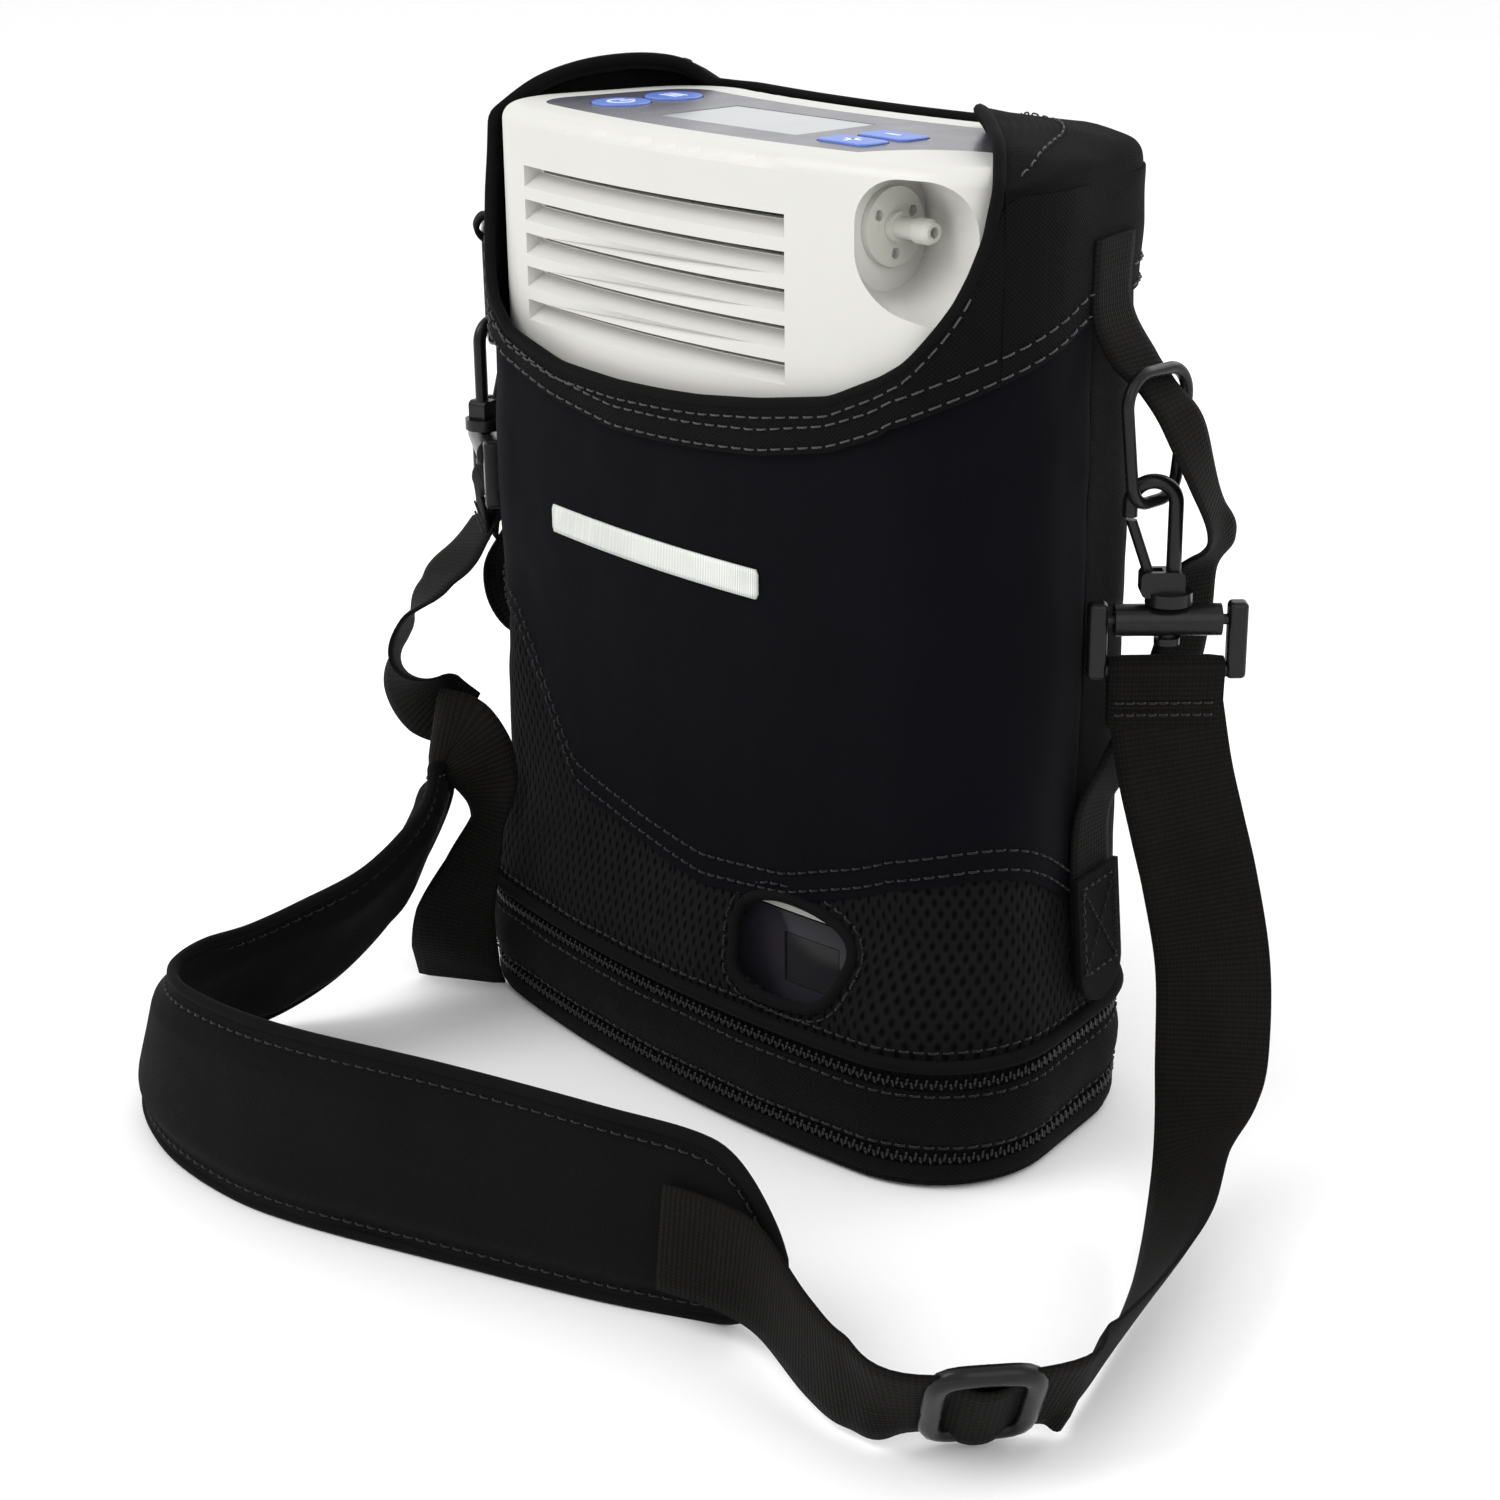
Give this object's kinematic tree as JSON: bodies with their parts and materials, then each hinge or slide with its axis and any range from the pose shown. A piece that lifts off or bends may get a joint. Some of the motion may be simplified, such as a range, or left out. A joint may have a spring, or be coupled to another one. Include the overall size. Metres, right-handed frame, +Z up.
{
  "type": "oxygen concentrator",
  "caption": "Portable oxygen concentrator with a curved white cabinet, seated in a fitted black carry bag with hooked, padded shoulder strap.",
  "frame": {"origin": "centre of the carry bag's base, on the face that it stands on", "axes": "+Z up; the convex front with the intake grille and battery window faces -Y; the outlet is at the +X end"},
  "size_m": [0.3168, 0.221, 0.253],
  "materials": {
    "cabinet": "warm white moulded plastic, fine satin texture",
    "film": "printed polyester panel film, semi-gloss",
    "key": "domed blue key caps with white symbols",
    "screen": "grey reflective display window",
    "outlet": "light grey moulded outlet fitting",
    "battery": "glossy black moulded battery case",
    "battery_latch": "glossy black latch key",
    "cells": "sleeved round cells",
    "machinery": "cast and turned aluminium",
    "internal_plastic": "black moulded plastic",
    "rubber": "moulded rubber",
    "board": "green solder-masked board",
    "filter": "open-cell foam",
    "screws": "zinc-plated steel",
    "inlet": "black socket",
    "neoprene": "smooth knit laminated to foam, near black",
    "canvas": "coarse woven nylon, near black",
    "mesh": "knitted spacer mesh, near black",
    "binding": "woven tape",
    "webbing": "ribbed nylon webbing, near black",
    "zipper": "coil zipper and tape",
    "zip_metal": "black enamelled zinc",
    "hardware": "moulded black acetal, semi-gloss",
    "reflective": "pale reflective tape"
  },
  "bodies": {
    "root": {"front_housing": "cabinet", "rear_housing": "cabinet", "control_panel": "film", "display_window": "screen", "housing_screws": "screws", "power_inlet": "inlet", "outlet_disc": "outlet", "outlet_barb": "outlet", "battery_case": "battery", "battery_cells": "cells", "chassis_plate": "machinery", "compressor": "machinery", "isolator_feet": "rubber", "sieve_columns": "machinery", "product_tank": "machinery", "valve_manifold": "machinery", "circuit_board": "board", "intake_filter": "filter", "fan_frame": "internal_plastic", "outlet_hose": "rubber", "bag_base_panel": "canvas", "bag_lower_band": "canvas", "bag_expansion_band": "canvas", "zipper_lower": "zipper", "zipper_upper": "zipper", "bag_window_binding": "binding", "bag_mesh_panel": "mesh", "bag_front_panel": "neoprene", "bag_back_panel": "neoprene", "bag_yoke_rear": "canvas", "bag_yoke_left": "canvas", "bag_yoke_right": "canvas", "bag_yoke_front": "canvas", "reflective_tab": "reflective", "strap_frame_left": "hardware", "strap_frame_right": "hardware", "strap_right": "webbing", "strap_left": "webbing", "strap_tail": "webbing", "shoulder_pad": "canvas", "side_strap_left": "webbing", "side_strap_right": "webbing", "ring_tab_left": "webbing"},
    "button_power": {"button_power": "key"},
    "button_mode": {"button_mode": "key"},
    "button_plus": {"button_plus": "key"},
    "button_minus": {"button_minus": "key"},
    "battery_latch": {"battery_latch": "battery_latch"},
    "fan": {"fan_rotor": "internal_plastic"},
    "hook_left": {"hook_left": "hardware"},
    "hook_right": {"hook_right": "hardware"},
    "gate_left": {"hook_gate_left": "hardware"},
    "gate_right": {"hook_gate_right": "hardware"},
    "ring_left": {"ring_left": "hardware"},
    "ring_right": {"ring_right": "hardware"},
    "zip_lower": {"zip_slider_lower": "zip_metal"},
    "zip_upper": {"zip_slider_upper": "zip_metal"},
    "pull_lower": {"zip_pull_lower": "zip_metal"},
    "pull_upper": {"zip_pull_upper": "zip_metal"},
    "slider": {"strap_slider": "hardware"}
  },
  "joints": [
    {"name": "button_power_press", "type": "slide", "parent": "root", "child": "button_power", "axis": [0, 0, -1], "range_m": [0, 0.0008], "stiffness_N_per_m": 600, "springref_m": -0.0006},
    {"name": "button_mode_press", "type": "slide", "parent": "root", "child": "button_mode", "axis": [0, 0, -1], "range_m": [0, 0.0008], "stiffness_N_per_m": 600, "springref_m": -0.0006},
    {"name": "button_plus_press", "type": "slide", "parent": "root", "child": "button_plus", "axis": [0, 0, -1], "range_m": [0, 0.0008], "stiffness_N_per_m": 600, "springref_m": -0.0006},
    {"name": "button_minus_press", "type": "slide", "parent": "root", "child": "button_minus", "axis": [0, 0, -1], "range_m": [0, 0.0008], "stiffness_N_per_m": 600, "springref_m": -0.0006},
    {"name": "battery_latch_press", "type": "slide", "parent": "root", "child": "battery_latch", "axis": [-0.1086, 0.9941, 0], "range_m": [0, 0.0008], "stiffness_N_per_m": 800, "springref_m": -0.0006},
    {"name": "fan_spin", "type": "hinge", "parent": "root", "child": "fan", "pos_m": [-0.015, -0.016, 0.212], "axis": [0, 1, 0], "continuous": true},
    {"name": "hook_left_swivel", "type": "hinge", "parent": "root", "child": "hook_left", "pos_m": [-0.10544, -0.01942, 0.1529], "axis": [0, 0, 1], "range_deg": [-12, 0]},
    {"name": "gate_left_open", "type": "hinge", "parent": "hook_left", "child": "gate_left", "pos_m": [-0.10632, -0.0149, 0.1633], "axis": [0.9816, 0.1909, 0], "range_deg": [0, 18], "stiffness_Nm_per_rad": 0.02, "springref_deg": -11.46},
    {"name": "ring_left_swing", "type": "hinge", "parent": "root", "child": "ring_left", "pos_m": [-0.1063, -0.015, 0.213], "axis": [0.8386, -0.5447, 0], "range_deg": [-0.6, 0.6]},
    {"name": "hook_right_swivel", "type": "hinge", "parent": "root", "child": "hook_right", "pos_m": [0.10995, 0.0224, 0.1414], "axis": [0, 0, 1], "range_deg": [-12, 0]},
    {"name": "gate_right_open", "type": "hinge", "parent": "hook_right", "child": "gate_right", "pos_m": [0.10694, 0.01893, 0.1518], "axis": [-0.7549, 0.6559, 0], "range_deg": [0, 18], "stiffness_Nm_per_rad": 0.02, "springref_deg": -11.46},
    {"name": "ring_right_swing", "type": "hinge", "parent": "root", "child": "ring_right", "pos_m": [0.107, 0.019, 0.2015], "axis": [-0.05, 0.9987, 0], "range_deg": [-0.6, 0.6]},
    {"name": "zip_lower_run", "type": "hinge", "parent": "root", "child": "zip_lower", "pos_m": [0, 0.3853, 0.009], "axis": [0, 0, 1], "range_deg": [0, 15]},
    {"name": "pull_lower_swing", "type": "hinge", "parent": "zip_lower", "child": "pull_lower", "pos_m": [-0.04352, 0.05032, 0.0102], "axis": [0.9917, -0.1288, 0], "range_deg": [0, 80]},
    {"name": "zip_upper_run", "type": "hinge", "parent": "root", "child": "zip_upper", "pos_m": [0, 0.3853, 0.0293], "axis": [0, 0, 1], "range_deg": [0, 14]},
    {"name": "pull_upper_swing", "type": "hinge", "parent": "zip_upper", "child": "pull_upper", "pos_m": [-0.03561, 0.04938, 0.0305], "axis": [0.9944, -0.1054, 0], "range_deg": [0, 80]},
    {"name": "strap_slider_adjust", "type": "slide", "parent": "root", "child": "slider", "axis": [-0.5777, -0.8163, 0], "range_m": [-0.003, 0.003]}
  ]
}
